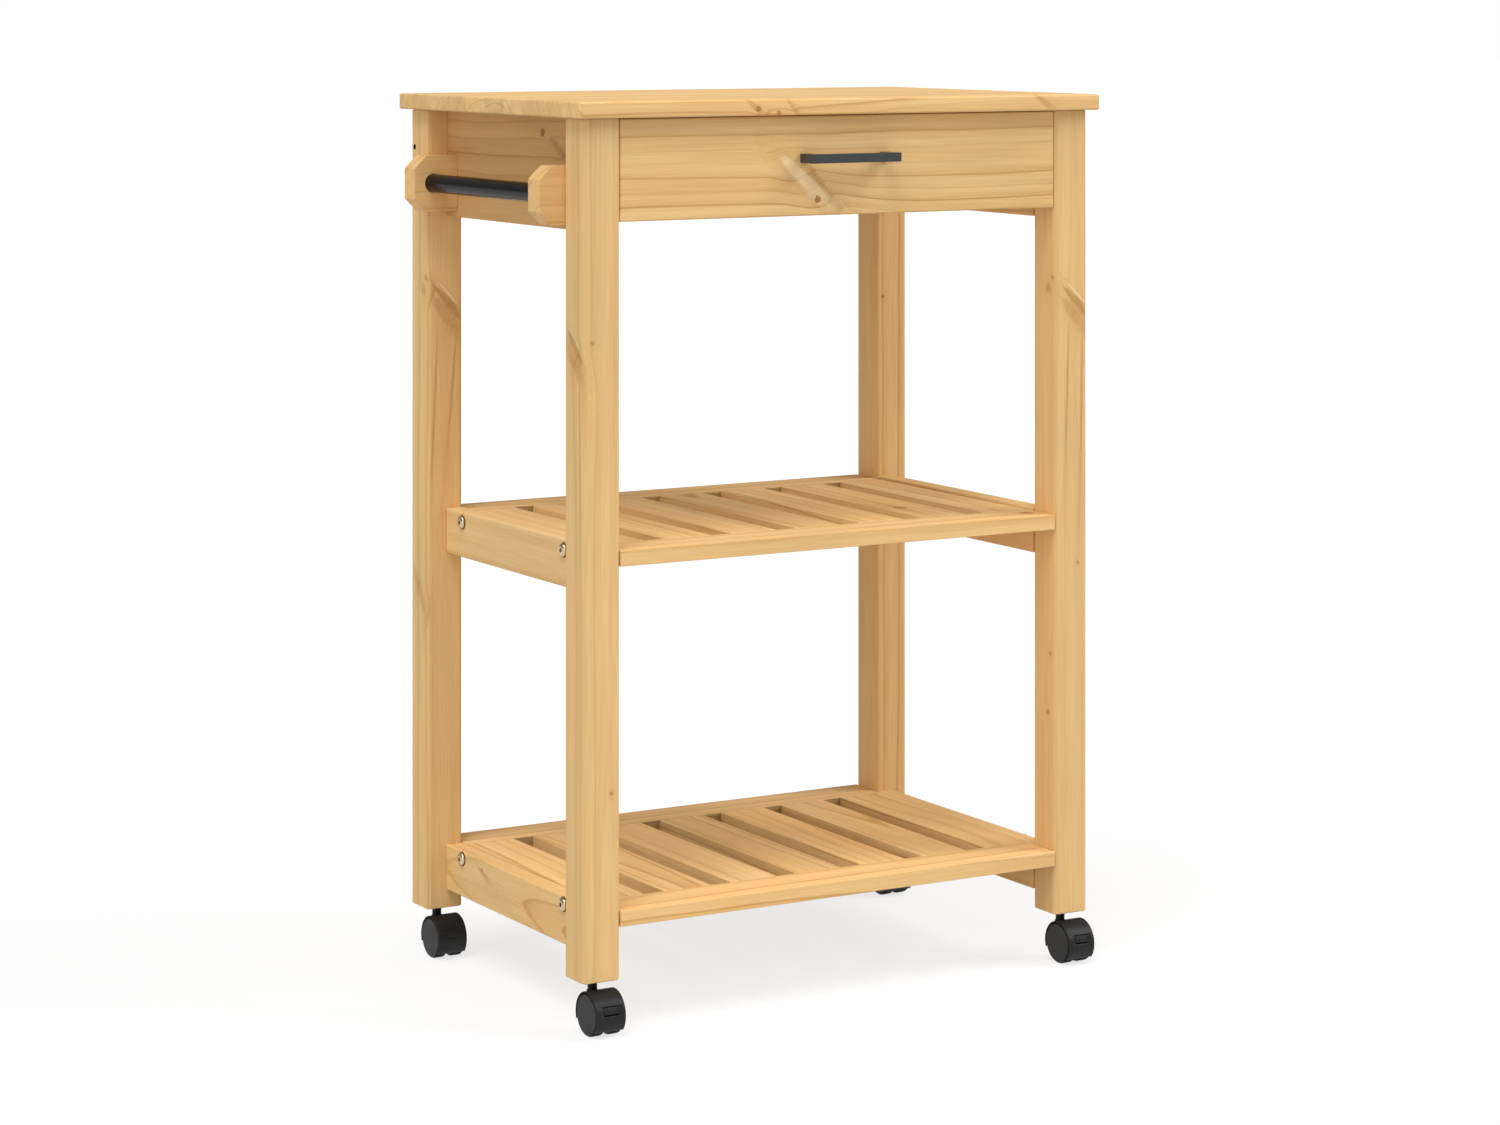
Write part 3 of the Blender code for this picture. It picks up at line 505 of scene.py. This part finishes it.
def make_shelf_bolts(material, shadow):
    """Two domed bolts through each side board into the outer slats, each in a thin dark ring of painted
    shadow for the shade in its counterbore.
    """
    rim = BOLT_RADIUS + BOLT_SHADOW_RING
    shadow_ring = [(-0.5 * MM, rim * 0.9), (0.05 * MM, rim), (0.15 * MM, rim - 0.1 * MM), (0.15 * MM, BOLT_SOCKET)]
    for level in ("lower", "middle"):
        deck_low, deck_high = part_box(f"{level}_shelf_slat_1")
        height = (deck_low.z + deck_high.z) / 2
        for side, outward in (("left", -1), ("right", 1)):
            low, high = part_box(f"{level}_shelf_board_{side}")
            face = low.x if side == "left" else high.x
            for end, y in (("front", low.y + BOLT_FROM_FRONT), ("back", high.y - BOLT_FROM_BACK)):
                bm = turned(button_head(BOLT_RADIUS, BOLT_HEIGHT, BOLT_SOCKET))
                aim_along(bm, (face, y, height), (outward, 0, 0))
                new_piece(f"shelf_bolt_{level}_{side}_{end}", bm, material, "frame")
                bm = turned(shadow_ring)
                aim_along(bm, (face, y, height), (outward, 0, 0))
                new_piece(f"shelf_bolt_seat_{level}_{side}_{end}", bm, shadow, "frame")


def make_handle_screws(material):
    """Two screws through the drawer front into the handle's posts."""
    low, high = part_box("drawer_handle")
    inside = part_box("drawer_front")[1].y
    for side, x in (("left", low.x + HANDLE_SCREW_FROM_END), ("right", high.x - HANDLE_SCREW_FROM_END)):
        bm = turned(button_head(HANDLE_SCREW_RADIUS, HANDLE_SCREW_HEIGHT, BOLT_SOCKET * 0.7))
        aim_along(bm, (x, inside, (low.z + high.z) / 2), (0, 1, 0))
        new_piece(f"handle_screw_{side}", bm, material, "drawer")


def make_leg_bolts(material):
    """The bolt sunk in each back leg, which holds the back apron; its matte, near-black colour is also
    painted shade for the hole it sits in.
    """
    radius = LEG_BOLT_RADIUS
    rings = [
        (-LEG_BOLT_LENGTH, radius * 0.8),
        (-LEG_BOLT_LENGTH + 0.6 * MM, radius),
        (-0.4 * MM, radius),
        (0.0, radius - 0.4 * MM),
        (0.0, radius * 0.55),
        (-0.1 * MM, radius * 0.5, 6),
        (-1.6 * MM, radius * 0.48, 6),
        (-1.8 * MM, radius * 0.1, 6),
    ]
    for side, outward in (("left", -1), ("right", 1)):
        low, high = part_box(f"leg_back_{side}")
        face = low.x if side == "left" else high.x
        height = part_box("worktop")[1].z - LEG_BOLT_BELOW_TOP
        bm = turned(rings)
        aim_along(bm, (face - outward * LEG_BOLT_SUNK, high.y - LEG_BOLT_FROM_BACK, height), (outward, 0, 0))
        new_piece(f"leg_bolt_{side}", bm, material, "frame")


def make_floor():
    bm = bmesh.new()
    bmesh.ops.create_circle(bm, cap_ends=True, segments=96, radius=FLOOR_RADIUS)
    mesh = bpy.data.meshes.new("floor")
    bm.to_mesh(mesh)
    bm.free()
    floor = bpy.data.objects.new("floor", mesh)
    bpy.context.scene.collection.objects.link(floor)
    material, graph, shader = new_material("studio_floor")
    tint = graph.noise(graph.node("TexCoord").outputs["Object"], (3.0, 3.0, 3.0))
    bounced = graph.node("LightPath").outputs["Is Diffuse Ray"]
    strength = graph.step(bounced, 0.0, 1.0, 1.0 - FLOOR_GLOW, FLOOR_BOUNCE)
    strength = graph.math("MULTIPLY", graph.step(tint, 0.2, 0.8, 0.99, 1.0), strength)
    graph.feed(shader.inputs["Base Color"], graph.scale(FLOOR_COLOUR, strength))
    graph.feed(shader.inputs["Emission Color"], (1, 1, 1))
    graph.feed(shader.inputs["Emission Strength"], graph.step(bounced, 0.0, 1.0, FLOOR_GLOW, 0.0))
    shader.inputs["Roughness"].default_value = 0.9
    shader.inputs["Specular IOR Level"].default_value = 0.0
    dress(floor, material)


def make_light():
    world = bpy.data.worlds.new("studio")
    bpy.context.scene.world = world
    world.use_nodes = True
    graph = Graph(world.node_tree)
    background = world.node_tree.nodes["Background"]
    seen = graph.node("LightPath").outputs["Is Camera Ray"]
    graph.feed(background.inputs["Strength"], graph.step(seen, 0.0, 1.0, ROOM_LIGHT, 1.0))
    background.inputs["Color"].default_value = (1, 1, 1, 1)
    for i, (turn, height, strength) in enumerate(LAMPS):
        turn = math.radians(turn)
        height = math.radians(height)
        flat = math.cos(height)
        toward = Vector((math.sin(turn) * flat, -math.cos(turn) * flat, math.sin(height)))
        sun = bpy.data.lights.new(f"lamp_{i + 1}", "SUN")
        sun.energy = strength
        sun.angle = math.radians(LAMP_SOFTNESS)
        lamp = bpy.data.objects.new(f"lamp_{i + 1}", sun)
        lamp.rotation_euler = toward.to_track_quat("Z", "Y").to_euler()
        bpy.context.scene.collection.objects.link(lamp)


def make_camera():
    """A level camera, whose shift falls away when it leaves its home for another view."""
    data = bpy.data.cameras.new("camera")
    data.lens = FOCAL_LENGTH
    camera = bpy.data.objects.new("camera", data)
    home = bpy.data.objects.new("camera_home", None)
    low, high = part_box("worktop")
    middle = (low + high) / 2
    place = (middle.x + CAMERA_FROM_TOP[0], middle.y + CAMERA_FROM_TOP[1], CAMERA_HEIGHT)
    for item in (camera, home):
        item.location = place
        bpy.context.scene.collection.objects.link(item)
    camera.rotation_euler = (math.radians(90), 0, math.radians(-CAMERA_TURN))
    curve = data.driver_add("shift_y")
    curve.driver.type = "SUM"
    apart = curve.driver.variables.new()
    apart.type = "LOC_DIFF"
    apart.targets[0].id = camera
    apart.targets[1].id = home
    for modifier in list(curve.modifiers):
        curve.modifiers.remove(modifier)
    for distance, shift in ((0.0, CAMERA_SHIFT), (HOME_RANGE, 0.0)):
        point = curve.keyframe_points.insert(distance, shift)
        point.interpolation = "LINEAR"
    bpy.context.scene.camera = camera


# ---------------------------------------------------------------- the trolley


def dress_timber():
    edge = Face("worktop", FRONTWARD)
    pine("worktop", "X", (10, -70), stave=42 * MM, ring=3.6, figure=0.5, branches=(
        edge.pin((196, 7), 2.4),
        edge.pin((219, 3), 1.8),
        edge.limb((182, 17), (201, 2), 2.4, 0.4),
        edge.limb((228, 17), (239, 3), 1.6, 0.4),
        edge.limb((522, 15), (540, 4), 2.6, 0.4),
    ))
    front = Face("drawer_front", FRONTWARD)
    pine("drawer_front", "X", (75, 118), ring=11, branches=(
        front.limb((171, 64), (240, 6), 8.0, 0.0),
        front.limb((205, 54), (240, 12), 3.0, 0.35),
        front.pin((220, 16), 3.0),
    ))
    side = Face("apron_left", LEFTWARD)
    # painted shade: the left apron's low tone darkens it for the shade under the worktop's overhang, and its
    # tint warms that shade
    pine("apron_left", "Y", (-60, -70), tone=0.85, ring=14, figure=0.45, tint=PAINTED_WARM_SHADE, branches=(
        side.pin((87, 92.5), 3.6),
        side.limb((74, 90.5), (36, 66.5), 4.0, 0.35),
    ))
    pine("apron_right", "Y", (50, 80), tone=0.97)
    pine("apron_back", "X", (-95, 60), tone=0.97)
    for side in ("left", "right"):
        pine(f"drawer_runner_{side}", "Y", (30, 60))
        pine(f"drawer_side_{side}", "Y", (60, 45))
    pine("drawer_back", "X", (70, 30))
    dress_legs()
    for level in ("lower", "middle"):
        dress_shelf(level)
    for end in ("front", "back"):
        # painted warm shade: the brackets' tint warms them for the light bounced off the wood round them
        pine(f"towel_bracket_{end}", "X", (40, 55), ring=14, figure=0.4, tint=(1.0, 0.97, 0.96))
    plywood("drawer_bottom", "X")


def dress_legs():
    corners = ("front_left", "front_right", "back_left", "back_right")
    front = {corner: Face(f"leg_{corner}", FRONTWARD) for corner in corners}
    left = {corner: Face(f"leg_{corner}", LEFTWARD) for corner in corners}
    piths = {"front_left": (60, 45), "front_right": (45, 38), "back_left": (-48, 36), "back_right": (48, -50)}
    knots = {
        "front_left": (
            *left["front_left"].swept_knot((32.5, 617), (2.5, 587)),
            left["front_left"].limb((8.5, 584), (6.5, 420), 1.3, 0.45),
            front["front_left"].pin((10, 606), 1.8, 0.7),
            front["front_left"].pin((30, 178), 1.8, 0.7),
        ),
        "front_right": (
            *front["front_right"].swept_knot((9, 640), (40, 610)),
            front["front_right"].limb((17, 606), (13, 475), 1.3, 0.45),
            front["front_right"].limb((34, 598), (31, 450), 1.3, 0.45),
            front["front_right"].pin((28, 357), 1.8, 0.7),
            left["front_right"].pin((12.5, 205), 2.6, 0.7),
            left["front_right"].pin((8.5, 265), 2.0, 0.7),
        ),
        "back_left": (
            *front["back_left"].swept_knot((6, 640), (36, 607)),
            front["back_left"].limb((12, 600), (4, 440), 1.3, 0.45),
            front["back_left"].limb((34, 605), (24, 490), 1.3, 0.45),
            left["back_left"].limb((34.5, 349), (3.5, 304), 4.5, 0.3),
        ),
        "back_right": (front["back_right"].pin((9, 606), 1.4),),
    }
    for corner in corners:
        pine(f"leg_{corner}", "Z", piths[corner], knots[corner], tone=0.98, ring=16, figure=0.34)


def dress_shelf(level):
    board = Face("lower_shelf_board_left", LEFTWARD)
    knots = {
        "middle_shelf_slat_6": (Face("middle_shelf_slat_6", UPWARD).pin((21, 75), 6.0, 0.85),),
        "middle_shelf_rail_front": (Face("middle_shelf_rail_front", UPWARD).pin((485, 27.5), 6.0, 0.85),),
        "lower_shelf_board_left": (
            board.pin((219, 36), 2.2, 0.6),
            board.limb((228, 38), (206, 29), 2.0, 0.5),
        ),
    }
    for side in ("left", "right"):
        name = f"{level}_shelf_board_{side}"
        swirl = name == "lower_shelf_board_left"
        pith = (-6, 24) if swirl else (10, 60 if side == "left" else -60)
        lean = (0.03, 0.09) if swirl else (0.0, 0.0)
        pine(name, "Y", pith, knots.get(name, ()), ring=8 if swirl else 13, figure=0.5, lean=lean)
    for end in ("front", "back"):
        name = f"{level}_shelf_rail_{end}"
        inward = (0, 1, 0) if end == "front" else FRONTWARD
        # painted shade on the rail's face inside the slots
        pine(name, "X", (40, -60), knots.get(name, ()), tone=1.05, ring=12, figure=0.5,
             painted_slot_shade=((inward, SLOT_END),))
    for i in range(1, 8):
        name = f"{level}_shelf_slat_{i}"
        rng = random.Random(name)
        pith = (rng.choice((-1, 1)) * rng.uniform(25, 90), rng.uniform(-60, 60))
        tone = rng.uniform(1.0, 1.10)
        # painted shade on the slats' sides inside the slots
        sides = ((LEFTWARD, SLOT_SIDE), ((1, 0, 0), SLOT_SIDE))
        pine(name, "Y", pith, knots.get(name, ()), tone=tone, painted_slot_shade=sides)


def dress_hardware():
    paint = painted("black_paint", ROD_BLACK, 0.20, 0.6 * MM, 0.01, 0.10, uneven=0.01)
    handle = painted("black_handle", HANDLE_BLACK, 0.40, 0.35 * MM, 0.10, 0.30)
    plastic = painted("black_moulding", HOOD_BLACK, 0.46, 0.25 * MM, 0.15, 0.24)
    for name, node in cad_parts.items():
        if name == "drawer_handle":
            dress(node, handle)
            soften(node, 0.5 * MM)
        elif name == "towel_rod":
            dress(node, paint)
            soften(node, 0.5 * MM)
        elif name.startswith("caster_stem"):
            dress(node, plastic)
            soften(node, 0.3 * MM)
        elif name.startswith("caster_wheel"):
            low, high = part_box(name)
            hub = (low + high) / 2
            dress(node, painted(f"{name}_moulding", WHEEL_BLACK, 0.50, 0.25 * MM, 0.15, 0.26, hub=hub))
            soften(node, 0.3 * MM)
        elif name.startswith("caster_hood"):
            dress(node, plastic)
            soften(node, 0)
        elif name.startswith("brake_lever"):
            dress(node, plastic)
            soften(node, 0.25 * MM)
        elif name.startswith("towel_bracket"):
            soften(node, 1.6 * MM, segments=3)
        elif name in ("worktop", "drawer_bottom") or name.startswith("leg_"):
            soften(node, 0)
        elif "_shelf_slat_" in name or "_shelf_rail_" in name:
            soften(node, 0.2 * MM)
        else:
            soften(node, 0.45 * MM)
    plated = painted("plated_steel", PLATED_STEEL, 0.25, 0.5 * MM, 0.05, 0.5, metallic=1.0)
    # painted shadow: a thin dark ring round each shelf bolt, for the shade in its counterbore
    shadow_ring = painted("bolt_shadow_ring", SHADOW_RING_BROWN, 0.6, 0.5 * MM, 0.05, 0.1)
    make_shelf_bolts(plated, shadow_ring)
    make_handle_screws(plated)
    # leg bolts: dark steel whose near-black colour is also painted shade for their holes
    make_leg_bolts(painted("dark_steel_and_hole_shade", BOLT_AND_HOLE_SHADE_BLACK, 0.7, 0.5 * MM, 0.05, 0.05))


dress_timber()
dress_hardware()
make_floor()
make_light()
make_camera()
bpy.context.scene.view_settings.view_transform = "Standard"
